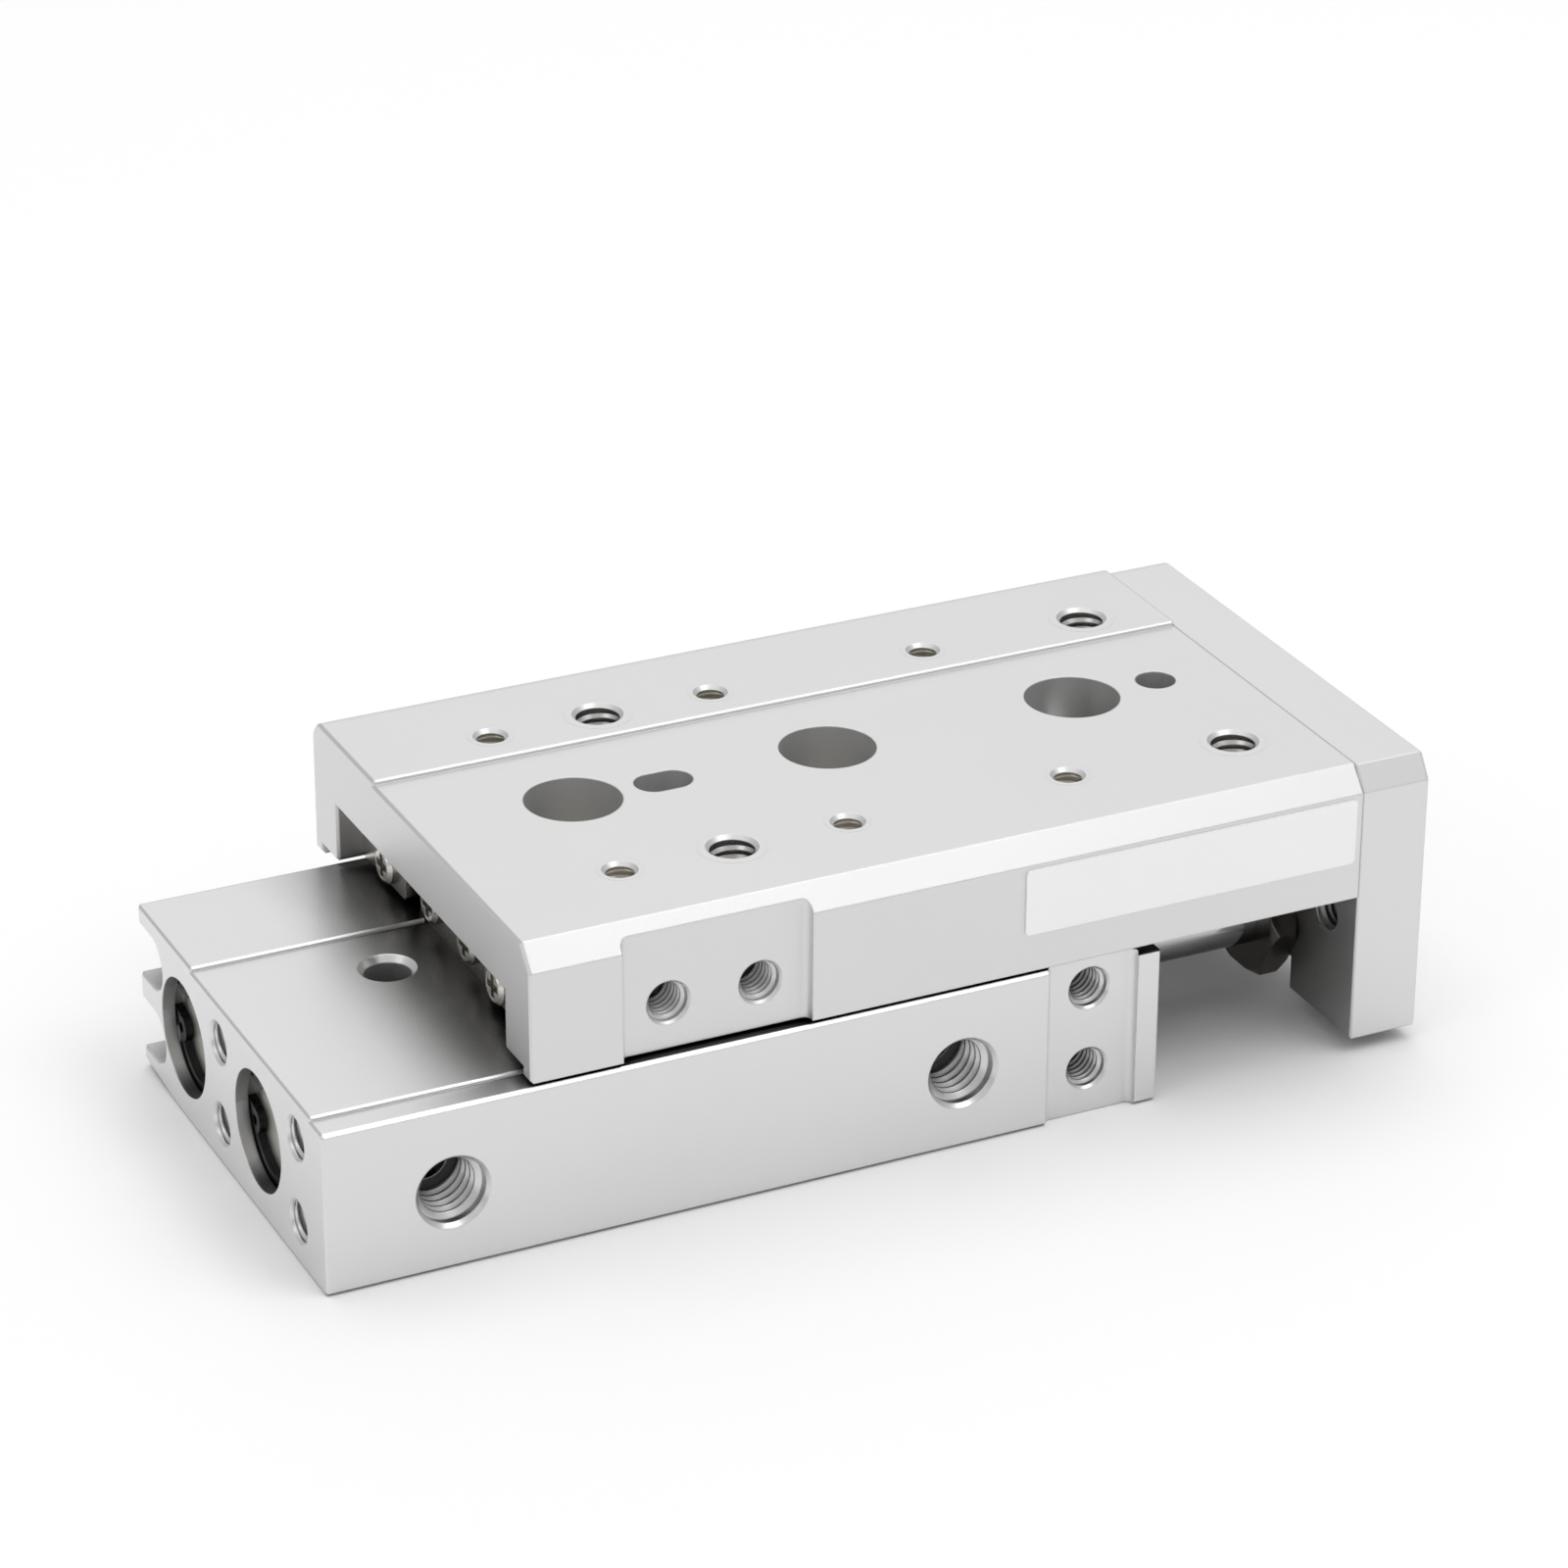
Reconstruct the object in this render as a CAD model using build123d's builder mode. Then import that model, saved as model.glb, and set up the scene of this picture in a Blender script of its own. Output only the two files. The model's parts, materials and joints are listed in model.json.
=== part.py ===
import os
from math import sqrt

from build123d import *

os.makedirs("parts", exist_ok=True)

# Pneumatic slide table with two cylinders and a cross-roller guide, in millimetres.
# X runs along the travel towards the end plate, Y runs across it away from the air ports, Z is up.
# The origin is on the base face, on the axis of the body's second mounting hole.
# The table is modelled part of the way out.

# Travel
stroke = 30.0
extension = 14.4
table_setback = 0.8

# Body block
body_length = 64.0
body_height = 12.8
body_far_y = 16.1
ledge_width = 2.2
ledge_drop = 0.3
strip_width = 10.8
strip_rise = 0.3
base_bevel_width = 6.0
base_bevel_height = 0.6
body_edge = 0.25
body_end_edge = 0.15

# Table and its two legs
table_length = 65.0
table_width = 39.8
table_thickness = 5.0
leg_thickness = 4.4
foot_depth = 9.5
lip_depth = 10.15
lip_width = 1.4
lip_gap = 0.35
foot_edge = 0.4
near_bevel_width = 1.5
near_bevel_height = 1.8
far_corner_radius = 1.7
table_strip_y = 8.0
table_strip_rise = 0.35
table_edge = 0.2
step_edge = 0.15

# End plate
plate_thickness = 5.6
plate_bevel_width = 1.2
plate_leg_width = 8.8
plate_leg_gap = 1.2
plate_margin = 2.7
plate_corner_radius = 1.0
plate_edge = 0.25

# Holes for mounting the body, and those in the table that reach them
mount_first = 12.8
mount_pitch = 20.0
mount_count = 3
mount_hole = 3.4
mount_hole_mouth = 4.2
mount_head = 6.2
mount_head_depth = 3.3
access_hole = 7.1

# Work holes in the table's top
work_first = 19.0
work_pitch_x = 40.0
work_pitch_y = 23.0
insert_diameter = 4.7
insert_bore = 4.0
insert_length = 4.2
insert_drop = 0.35
pin_diameter = 3.0
pin_depth = 3.5
pin_slot_length = 4.4

# Tapped holes for side accessories, and the shallow pockets that they stand in
thread_m3 = 3.0
mouth_m3 = 3.4
pocket_radius = 0.55
table_pocket_start = 6.9
table_pocket_length = 14.3
table_pocket_depth = 0.75
table_tap_first = 10.6
table_tap_pitch = 6.95
table_tap_depth = 6.65
body_rib_width = 1.8
body_rib_drop = 0.35
body_pocket_length = 7.2
body_pocket_depth = 0.67
body_tap_inset = 5.4
body_tap_rise = 0.4
body_tap_pitch = 6.5
body_tap_depth = 5.5
rear_tap_pitch_y = 14.85
stop_tap_inset = 4.07
stop_tap_rise = 3.3

# Cylinders
bore_diameter = 8.0
bore_pitch = 14.8
bore_rise = 0.1
recess_diameter = 8.9
cap_depth = 7.5
gland_length = 10.9
seat_clearance = 0.03
ring_inset = 1.0
ring_thickness = 0.6
ring_groove_width = 0.7
ring_groove_diameter = 9.7
ring_width = 1.05
ring_gap = 2.2
ring_turn = -75.0
lug_radius = 1.0
lug_hole = 0.8
o_ring_width = 1.2
o_ring_depth = 0.6
o_ring_inset = 2.0

# Rods and pistons
rod_diameter = 5.0
rod_clearance = 0.05
stud_diameter = 3.5
piston_length = 9.0
piston_clearance = 0.07
bumper_diameter = 6.4
bumper_length = 1.5
end_gap = 0.4
seal_width = 1.2
seal_depth = 0.9
seal_clearance = 0.03
magnet_width = 2.0
magnet_depth = 1.2
magnet_inset = 1.0
nut_across_flats = 8.75
nut_length = 2.3
nut_face_radius = 4.5
nut_cone_radius = 5.9
nut_gap = 0.5
nut_pocket_diameter = 10.6

# Air ports
thread_m5 = 5.0
mouth_m5 = 5.6
port_first = 9.4
port_pitch = 38.86
port_height = 5.9
port_depth = 5.0
passage_diameter = 3.0

# Switch grooves in the far face
groove_width = 4.0
groove_depth = 4.6
groove_base_inset = 3.65
groove_top_inset = 3.15

# Cross-roller guide
guide_half_width = 6.3
guide_block_height = 4.6
guide_block_length = 45.5
guide_block_inset = 0.6
guide_axis_rise = 3.2
guide_edge = 0.25
seat_edge = 0.1
rail_gap = 1.0
rail_height = 4.3
rail_length = 52.0
rail_start = 2.0
roller_diameter = 1.5
roller_length = 1.34
roller_clearance = 0.03
roller_pitch = 2.5
roller_count = 11
cage_length = 29.6
cage_thickness = 0.5
cage_height = 3.4
cage_corner = 0.8
pocket_clearance = 0.04

# Cap screws: thread, clearance, head and seat diameters
thread_m25 = 2.5
clear_m25 = 2.9
head_m25 = 4.5
head_m25_height = 2.4
seat_m25 = 4.8
seat_m25_depth = 2.6
socket_m25 = 2.0
tap_clearance = 0.4
plate_screw_web_y = 6.0
plate_screw_web_depth = 2.9
plate_screw_leg_inset = 3.0
plate_screw_leg_depth = 6.0
plate_screw_length = 9.0
rod_screw_length = 8.0
block_screw_length = 8.0
block_screw_front = 6.4
rail_screw_first = 8.5
rail_screw_pitch = 17.5
rail_screw_count = 3
rail_screw_diameter = 3.0
rail_screw_head = 5.2
rail_screw_head_height = 1.7
rail_screw_seat = 5.6
rail_screw_seat_depth = 1.9
rail_screw_drop = 1.2

# Pan-head screws in the ends of the rails and the block
end_screw_head = 2.9
end_screw_head_height = 0.7
end_screw_head_edge = 0.3
end_screw_diameter = 1.6
end_screw_length = 2.4
end_screw_cross = 1.8
end_screw_cross_width = 0.6
end_screw_cross_depth = 0.5
rail_end_screw_inset = 2.9
rail_end_screw_rise = 1.7
block_end_screw_y = 3.35
block_end_screw_rise = 2.4

# Label plate on the near leg
label_inset = 0.5
label_length = 26.8
label_top = 2.1
label_width = 5.1
label_thickness = 0.15
label_radius = 0.35

# Places worked out from the sizes
sides = {"near": -1, "far": 1}
near_y = -table_width / 2
body_rear_x = -mount_first - mount_pitch
body_front_x = body_rear_x + body_length
ledge_z = body_height - ledge_drop
strip_z = body_height + strip_rise
table_height = ledge_z + lip_gap + lip_depth
table_rear_x = body_rear_x + table_setback + extension
table_front_x = table_rear_x + table_length
plate_front_x = table_front_x + plate_thickness
ceiling_z = table_height - table_thickness
leg_inner_y = table_width / 2 - leg_thickness
bore_y = bore_pitch / 2
bore_height = body_height / 2 + bore_rise
groove_zs = [groove_base_inset, body_height - groove_top_inset]
mount_xs = [body_rear_x + mount_first + i * mount_pitch for i in range(mount_count)]
access_xs = [x + extension for x in mount_xs]
work_xs = [table_rear_x + work_first + i * work_pitch_x for i in range(2)]
work_ys = [i * work_pitch_y / 2 for i in (-1, 1)]
port_xs = [body_rear_x + port_first + i * port_pitch for i in range(2)]
table_tap_xs = [table_rear_x + table_tap_first + i * table_tap_pitch for i in range(2)]
body_tap_zs = [body_height / 2 + body_tap_rise + i * body_tap_pitch / 2 for i in (-1, 1)]
rear_tap_zs = [bore_height + i * body_tap_pitch / 2 for i in (-1, 1)]
cap_rear_x = body_rear_x + ring_inset + ring_groove_width
cap_front_x = body_rear_x + cap_depth
cap_ring_x = cap_rear_x + o_ring_inset
# With the table in, the rods' nuts stand in pockets in the body's front face.
nut_pocket_depth = nut_length + nut_gap - (table_setback + table_length - body_length)
gland_front_x = body_front_x - nut_pocket_depth - ring_inset - ring_groove_width
gland_rear_x = gland_front_x - gland_length
gland_ring_x = gland_rear_x + o_ring_inset
rod_seal_x = gland_front_x - o_ring_inset - seal_width
plug_radius = recess_diameter / 2 - seat_clearance
gland_radius = rod_diameter / 2 + rod_clearance
piston_radius = bore_diameter / 2 - piston_clearance
piston_rear_x = cap_front_x + end_gap + bumper_length + extension
piston_front_x = piston_rear_x + piston_length
piston_seal_x = piston_rear_x + (piston_length - seal_width) / 2
magnet_x = piston_rear_x + magnet_inset
nut_rear_x = table_front_x - nut_length
label_middle_x = table_front_x - label_inset - label_length / 2
block_front_x = body_front_x - guide_block_inset
block_rear_x = block_front_x - guide_block_length
block_top_z = body_height + guide_block_height
block_screw_xs = [
    mount_xs[1] - mount_pitch / 2,
    mount_xs[1] + mount_pitch / 2,
    mount_xs[2] + block_screw_front,
]
rail_rear_x = table_rear_x + rail_start
rail_front_x = rail_rear_x + rail_length
rail_inner_y = guide_half_width + rail_gap
rail_width = leg_inner_y - rail_inner_y
rail_bottom_z = ceiling_z - rail_height
rail_screw_y = rail_inner_y + rail_width / 2
rail_screw_xs = [rail_rear_x + rail_screw_first + i * rail_screw_pitch for i in range(rail_screw_count)]
guide_axis_z = body_height + guide_axis_rise
roller_axis_y = guide_half_width + rail_gap / 2
# A cage runs at half the table's speed, so here it stands half-way between the block and the rails.
block_middle_x = block_rear_x + guide_block_length / 2
rail_middle_x = rail_rear_x + rail_length / 2
cage_middle_x = (block_middle_x + rail_middle_x) / 2
plate_screw_leg_y = table_width / 2 - plate_screw_leg_inset
plate_screw_places = [(i * plate_screw_web_y, table_height - plate_screw_web_depth) for i in (-1, 1)] + [
    (i * plate_screw_leg_y, table_height - plate_screw_leg_depth) for i in (-1, 1)
]
rod_places = [(sign * bore_y, bore_height) for sign in sides.values()]


def save(builder, name):
    builder.part.label = name
    export_step(builder.part, "parts/" + name + ".step")


# Planes across the travel, looking forward or to the rear, with the height above the point as Y
def facing_front(x, y=0, z=0):
    return Plane(origin=(x, y, z), x_dir=(0, 1, 0), z_dir=(1, 0, 0))


def facing_rear(x, y=0, z=0):
    return Plane(origin=(x, y, z), x_dir=(0, -1, 0), z_dir=(-1, 0, 0))


def facing_near(x, y, z):
    return Plane(origin=(x, y, z), x_dir=(1, 0, 0), z_dir=(0, -1, 0))


# A cylinder's lengthwise section: X along it, and the distance from its axis as Y
def bore_section(sign):
    return facing_near(0, sign * bore_y, bore_height)


def bore_axis(sign):
    return Axis((0, sign * bore_y, bore_height), (1, 0, 0))


# Socket-head screws; each seat is the plane under a head, facing out of it
def cap_screws(seats, head, head_height, shank, length):
    with BuildPart() as screws:
        for seat in seats:
            with BuildSketch(seat):
                Circle(head / 2)
            extrude(amount=head_height)
            with BuildSketch(seat):
                Circle(shank / 2)
            extrude(amount=-length)
            with BuildSketch(seat.offset(head_height)):
                RegularPolygon(socket_m25 / 2, 6, major_radius=False)
            extrude(amount=-head_height / 2, mode=Mode.SUBTRACT)
    return screws


# Small pan-head screws with a cross recess
def pan_screws(seats):
    with BuildPart() as screws:
        for seat in seats:
            with BuildSketch(seat):
                Circle(end_screw_head / 2)
            extrude(amount=end_screw_head_height - end_screw_head_edge)
            with BuildSketch(seat.offset(end_screw_head_height - end_screw_head_edge)):
                Circle(end_screw_head / 2)
            extrude(amount=end_screw_head_edge, taper=45)
            with BuildSketch(seat):
                Circle(end_screw_diameter / 2)
            extrude(amount=-end_screw_length)
            with BuildSketch(seat.offset(end_screw_head_height)):
                Rectangle(end_screw_cross, end_screw_cross_width)
                Rectangle(end_screw_cross_width, end_screw_cross)
            extrude(amount=-end_screw_cross_depth, mode=Mode.SUBTRACT)
    return screws


# Body block: a bar with two cylinders, two switch grooves and a ledge under the table's near foot
with BuildPart() as body_block:
    with BuildSketch(facing_front(body_rear_x)) as body_section:
        with BuildLine():
            Polyline(
                (near_y, 0),
                (near_y, ledge_z),
                (near_y + ledge_width, ledge_z),
                (near_y + ledge_width, body_height),
                (body_far_y - strip_width, body_height),
                (body_far_y - strip_width, strip_z),
                (body_far_y, strip_z),
                (body_far_y, base_bevel_height),
                (body_far_y - base_bevel_width, 0),
                close=True,
            )
        make_face()
        for corner in ((near_y + ledge_width, body_height), (body_far_y - strip_width, strip_z)):
            chamfer(body_section.vertices().sort_by_distance(corner)[0], step_edge)
        with Locations(*[(body_far_y, z) for z in groove_zs]):
            SlotOverall(2 * groove_depth, groove_width, mode=Mode.SUBTRACT)
    extrude(amount=body_length)
    chamfer(body_block.edges().filter_by(Axis.X).group_by(Axis.Y)[0], body_edge)
    for end in (0, -1):
        chamfer(body_block.faces().sort_by(Axis.X)[end].outer_wire().edges(), body_end_edge)

    # Cylinder bores, with a recess and a ring groove at each end
    for y, z in rod_places:
        for start, length, diameter in (
            (body_rear_x, body_length, bore_diameter),
            (body_rear_x, cap_depth, recess_diameter),
            (gland_rear_x, body_front_x - gland_rear_x, recess_diameter),
            (body_rear_x + ring_inset, ring_groove_width, ring_groove_diameter),
            (gland_front_x, ring_groove_width, ring_groove_diameter),
            (body_front_x - nut_pocket_depth, nut_pocket_depth, nut_pocket_diameter),
        ):
            with BuildSketch(facing_front(start, y, z)):
                Circle(diameter / 2)
            extrude(amount=length, mode=Mode.SUBTRACT)

    # Mounting holes right through, with a bevelled mouth on the top face
    with Locations(*[(x, 0, body_height) for x in mount_xs]):
        CounterSinkHole(mount_hole / 2, mount_hole_mouth / 2, depth=body_height)

    # Level seat for the guide block, cut into the far strip
    with Locations((block_rear_x - seat_edge, 0, body_height)):
        Box(body_front_x - block_rear_x + seat_edge, 2 * (guide_half_width + seat_edge), strip_rise,
            align=(Align.MIN, Align.CENTER, Align.MIN), mode=Mode.SUBTRACT)

    # Tapped holes that hold the guide block
    web = block_top_z - body_height - seat_m25_depth
    with Locations(*[(x, 0, body_height) for x in block_screw_xs]):
        Hole(thread_m25 / 2, depth=block_screw_length - web + tap_clearance)

    # Air ports in the near face, each with a passage across both cylinders
    with Locations(*[facing_near(x, near_y, port_height) for x in port_xs]):
        CounterSinkHole(thread_m5 / 2, mouth_m5 / 2, depth=port_depth)
        Hole(passage_diameter / 2, depth=bore_y - near_y)

    # Shallow pocket behind the front rib, the rib's lowered top and the two tapped holes
    with BuildSketch(Plane.XY):
        with Locations((body_front_x - body_rib_width - body_pocket_length / 2, near_y)):
            RectangleRounded(body_pocket_length, 2 * body_pocket_depth, pocket_radius)
    extrude(amount=body_height, mode=Mode.SUBTRACT)
    with Locations((body_front_x, near_y, ledge_z - body_rib_drop)):
        Box(2 * body_rib_width, 2 * ledge_width, ledge_z,
            align=(Align.CENTER, Align.CENTER, Align.MIN), mode=Mode.SUBTRACT)
    with Locations(*[
        facing_near(body_front_x - body_tap_inset, near_y + body_pocket_depth, z) for z in body_tap_zs
    ]):
        CounterSinkHole(thread_m3 / 2, mouth_m3 / 2, depth=body_tap_depth)

    # Two columns of tapped holes in the rear face
    with Locations(*[facing_rear(body_rear_x, y, z) for y in (-rear_tap_pitch_y, 0) for z in rear_tap_zs]):
        CounterSinkHole(thread_m3 / 2, mouth_m3 / 2, depth=body_tap_depth)
save(body_block, "body_block")

# Rear head caps: plugs, each with an O-ring groove
for side, sign in sides.items():
    with BuildPart() as head_cap:
        with BuildSketch(bore_section(sign)):
            with BuildLine():
                Polyline(
                    (cap_rear_x, 0),
                    (cap_rear_x, plug_radius),
                    (cap_ring_x, plug_radius),
                    (cap_ring_x, plug_radius - o_ring_depth),
                    (cap_ring_x + o_ring_width, plug_radius - o_ring_depth),
                    (cap_ring_x + o_ring_width, plug_radius),
                    (cap_front_x, plug_radius),
                    (cap_front_x, 0),
                    close=True,
                )
            make_face()
        revolve(axis=bore_axis(sign))
    save(head_cap, "head_cap_" + side)

# Rod glands: bushes at the front of the cylinders, with a seal groove inside and an O-ring outside
for side, sign in sides.items():
    with BuildPart() as rod_gland:
        with BuildSketch(bore_section(sign)):
            with BuildLine():
                Polyline(
                    (gland_rear_x, gland_radius),
                    (gland_rear_x, plug_radius),
                    (gland_ring_x, plug_radius),
                    (gland_ring_x, plug_radius - o_ring_depth),
                    (gland_ring_x + o_ring_width, plug_radius - o_ring_depth),
                    (gland_ring_x + o_ring_width, plug_radius),
                    (gland_front_x, plug_radius),
                    (gland_front_x, gland_radius),
                    (rod_seal_x + seal_width, gland_radius),
                    (rod_seal_x + seal_width, gland_radius + seal_depth),
                    (rod_seal_x, gland_radius + seal_depth),
                    (rod_seal_x, gland_radius),
                    close=True,
                )
            make_face()
        revolve(axis=bore_axis(sign))
    save(rod_gland, "rod_gland_" + side)

# O-rings round the caps and the glands
with BuildPart() as o_rings:
    for sign in sides.values():
        with BuildSketch(bore_section(sign)):
            with Locations(*[
                (ring_x + o_ring_width / 2, plug_radius - o_ring_depth / 2)
                for ring_x in (cap_ring_x, gland_ring_x)
            ]):
                Rectangle(o_ring_width, o_ring_depth)
        revolve(axis=bore_axis(sign))
save(o_rings, "o_rings")

# Rod seals in the glands
with BuildPart() as rod_seals:
    for sign in sides.values():
        with BuildSketch(bore_section(sign)):
            with Locations((rod_seal_x + seal_width / 2, gland_radius + seal_depth / 2)):
                Rectangle(seal_width, seal_depth)
        revolve(axis=bore_axis(sign))
save(rod_seals, "rod_seals")

# Retaining rings: open rings with two lugs, one at each end of each cylinder
ring_radius = ring_groove_diameter / 2 - seat_clearance
lug_x = ring_gap / 2 + lug_radius
lug_y = sqrt((ring_radius - lug_radius) ** 2 - lug_x**2)
lug_places = [(i * lug_x, lug_y) for i in (-1, 1)]
with BuildPart() as retaining_rings:
    for ring_x in (cap_rear_x - ring_thickness, gland_front_x):
        for y, z in rod_places:
            with BuildSketch(facing_front(ring_x, y, z)):
                Circle(ring_radius)
                Circle(ring_radius - ring_width, mode=Mode.SUBTRACT)
                with Locations(Location((0, 0, 0), (0, 0, ring_turn))):
                    with Locations(*lug_places):
                        Circle(lug_radius)
                    with Locations((0, ring_radius)):
                        Rectangle(ring_gap, 2 * ring_radius, mode=Mode.SUBTRACT)
                    with Locations(*lug_places):
                        Circle(lug_hole / 2, mode=Mode.SUBTRACT)
            extrude(amount=ring_thickness)
save(retaining_rings, "retaining_rings")

# Guide block, fixed to the body: a bar with a right-angled groove along each side. The square channel
# between it and a rail's facing groove holds the rollers.
with BuildPart() as guide_block:
    with BuildSketch(facing_front(block_rear_x)) as block_section:
        with Locations((0, (body_height + block_top_z) / 2)):
            Rectangle(2 * guide_half_width, block_top_z - body_height)
        chamfer(block_section.vertices(), guide_edge)
        with Locations((-roller_axis_y, guide_axis_z), (roller_axis_y, guide_axis_z)):
            Rectangle(roller_diameter, roller_diameter, rotation=45, mode=Mode.SUBTRACT)
    extrude(amount=guide_block_length)
    with Locations(*[(x, 0, block_top_z) for x in mount_xs[1:]]):
        CounterBoreHole(mount_hole / 2, mount_head / 2, mount_head_depth)
    with Locations(*[(x, 0, block_top_z) for x in block_screw_xs]):
        CounterBoreHole(clear_m25 / 2, seat_m25 / 2, seat_m25_depth)
    block_end_screw_z = body_height + block_end_screw_rise
    block_end_seats = []
    for y in (-block_end_screw_y, block_end_screw_y):
        block_end_seats.append(facing_rear(block_rear_x, y, block_end_screw_z))
        block_end_seats.append(facing_front(block_front_x, y, block_end_screw_z))
    with Locations(*block_end_seats):
        Hole(end_screw_diameter / 2, depth=end_screw_length)
save(guide_block, "guide_block")
save(pan_screws(block_end_seats), "guide_block_end_screws")

block_seats = [Plane(origin=(x, 0, block_top_z - seat_m25_depth)) for x in block_screw_xs]
save(cap_screws(block_seats, head_m25, head_m25_height, thread_m25, block_screw_length), "guide_block_screws")

# Outer rails, fixed under the table against its legs
rail_end_screw_y = rail_inner_y + rail_end_screw_inset
rail_end_screw_z = rail_bottom_z + rail_end_screw_rise
rail_end_seats = []
for side, sign in sides.items():
    end_seats = [
        facing_rear(rail_rear_x, sign * rail_end_screw_y, rail_end_screw_z),
        facing_front(rail_front_x, sign * rail_end_screw_y, rail_end_screw_z),
    ]
    with BuildPart() as rail:
        with BuildSketch(facing_front(rail_rear_x)) as rail_section:
            with Locations((sign * rail_screw_y, ceiling_z - rail_height / 2)):
                Rectangle(rail_width, rail_height)
            chamfer(rail_section.vertices(), guide_edge)
            with Locations((sign * roller_axis_y, guide_axis_z)):
                Rectangle(roller_diameter, roller_diameter, rotation=45, mode=Mode.SUBTRACT)
        extrude(amount=rail_length)
        with Locations(*[
            Plane(origin=(x, sign * rail_screw_y, rail_bottom_z), z_dir=(0, 0, -1)) for x in rail_screw_xs
        ]):
            CounterBoreHole(rail_screw_diameter / 2, rail_screw_seat / 2, rail_screw_seat_depth)
        with Locations(*end_seats):
            Hole(end_screw_diameter / 2, depth=end_screw_length)
    save(rail, "rail_" + side)
    rail_end_seats += end_seats
save(pan_screws(rail_end_seats), "rail_end_screws")

rail_seats = [
    Plane(origin=(x, sign * rail_screw_y, rail_bottom_z + rail_screw_seat_depth), z_dir=(0, 0, -1))
    for sign in sides.values()
    for x in rail_screw_xs
]
rail_screw_length = table_height - rail_screw_drop - rail_bottom_z - rail_screw_seat_depth
save(cap_screws(rail_seats, rail_screw_head, rail_screw_head_height, rail_screw_diameter, rail_screw_length),
     "rail_screws")

# Rollers, each turned a right angle to the one before it, and the cages that space them
roller_xs = [cage_middle_x + (i - (roller_count - 1) / 2) * roller_pitch for i in range(roller_count)]
for side, sign in sides.items():
    roller_places = [
        Location((x, sign * roller_axis_y, guide_axis_z), (45 if i % 2 else -45, 0, 0))
        for i, x in enumerate(roller_xs)
    ]
    with BuildPart() as rollers:
        with Locations(*roller_places):
            Cylinder(roller_diameter / 2 - roller_clearance, roller_length)
    save(rollers, "rollers_" + side)

    with BuildPart() as cage:
        with Locations((cage_middle_x, sign * roller_axis_y, guide_axis_z)):
            Box(cage_length, cage_thickness, cage_height)
        fillet(cage.edges().filter_by(Axis.Y), cage_corner)
        with Locations(*roller_places):
            Cylinder(roller_diameter / 2 - roller_clearance + pocket_clearance,
                     roller_length + 2 * pocket_clearance, mode=Mode.SUBTRACT)
    save(cage, "cage_" + side)

# Table: an inverted channel whose feet hang beside the body's ledge and its far face
foot_z = table_height - foot_depth
lip_z = table_height - lip_depth
table_far_y = table_width / 2
table_strip_z = table_height + table_strip_rise
with BuildPart() as table:
    with BuildSketch(facing_front(table_rear_x)) as table_section:
        with BuildLine():
            Polyline(
                (near_y, lip_z),
                (near_y + lip_width, lip_z),
                (near_y + lip_width, foot_z),
                (-leg_inner_y, foot_z),
                (-leg_inner_y, ceiling_z),
                (leg_inner_y, ceiling_z),
                (leg_inner_y, foot_z),
                (table_far_y - lip_width, foot_z),
                (table_far_y - lip_width, lip_z),
                (table_far_y, lip_z),
                (table_far_y, table_strip_z),
                (table_strip_y, table_strip_z),
                (table_strip_y, table_height),
                (near_y + near_bevel_width, table_height),
                (near_y, table_height - near_bevel_height),
                close=True,
            )
        make_face()
        fillet(table_section.vertices().sort_by_distance((table_far_y, table_strip_z))[0], far_corner_radius)
        for inner_y in (-leg_inner_y, leg_inner_y):
            fillet(table_section.vertices().sort_by_distance((inner_y, foot_z))[0], foot_edge)
        chamfer(table_section.vertices().sort_by_distance((table_strip_y, table_strip_z))[0], step_edge)
    extrude(amount=table_length)
    chamfer(table.faces().sort_by(Axis.X)[0].outer_wire().edges(), table_edge)

    with Locations(*[(x, 0, table_height) for x in access_xs]):
        Hole(access_hole / 2, depth=table_thickness)
    with Locations(*[(x, y, table_strip_z) for x in work_xs for y in work_ys]):
        Hole(insert_diameter / 2, depth=table_thickness + table_strip_rise)
    with Locations(*[(x, y, table_strip_z) for x in rail_screw_xs for y in (-rail_screw_y, rail_screw_y)]):
        Hole(rail_screw_diameter / 2, depth=table_thickness + table_strip_rise)
    with BuildSketch(Plane.XY.offset(table_height)):
        with Locations((work_xs[0], 0)):
            SlotOverall(pin_slot_length, pin_diameter)
        with Locations((work_xs[1], 0)):
            Circle(pin_diameter / 2)
    extrude(amount=-pin_depth, mode=Mode.SUBTRACT)

    # Shallow pocket in the near leg and the two tapped holes in it
    with BuildSketch(Plane.XY.offset(lip_z)):
        with Locations((table_rear_x + table_pocket_start + table_pocket_length / 2, near_y)):
            RectangleRounded(table_pocket_length, 2 * table_pocket_depth, pocket_radius)
    extrude(amount=lip_depth, mode=Mode.SUBTRACT)
    with Locations(*[
        facing_near(x, near_y + table_pocket_depth, table_height - table_tap_depth) for x in table_tap_xs
    ]):
        CounterSinkHole(thread_m3 / 2, mouth_m3 / 2, depth=leg_thickness - table_pocket_depth)

    # Tapped holes for the end plate's screws
    with Locations(*[facing_front(table_front_x, y, z) for y, z in plate_screw_places]):
        Hole(thread_m25 / 2, depth=plate_screw_length - (plate_thickness - seat_m25_depth) + tap_clearance)
save(table, "table")

# Threaded inserts in the work holes
with BuildPart() as thread_inserts:
    for y in work_ys:
        top_z = table_height + (table_strip_rise if y > table_strip_y else 0) - insert_drop
        with BuildSketch(Plane.XY.offset(top_z)):
            with Locations(*[(x, y) for x in work_xs]):
                Circle(insert_diameter / 2)
                Circle(insert_bore / 2, mode=Mode.SUBTRACT)
        extrude(amount=-insert_length)
save(thread_inserts, "thread_inserts")

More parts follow.
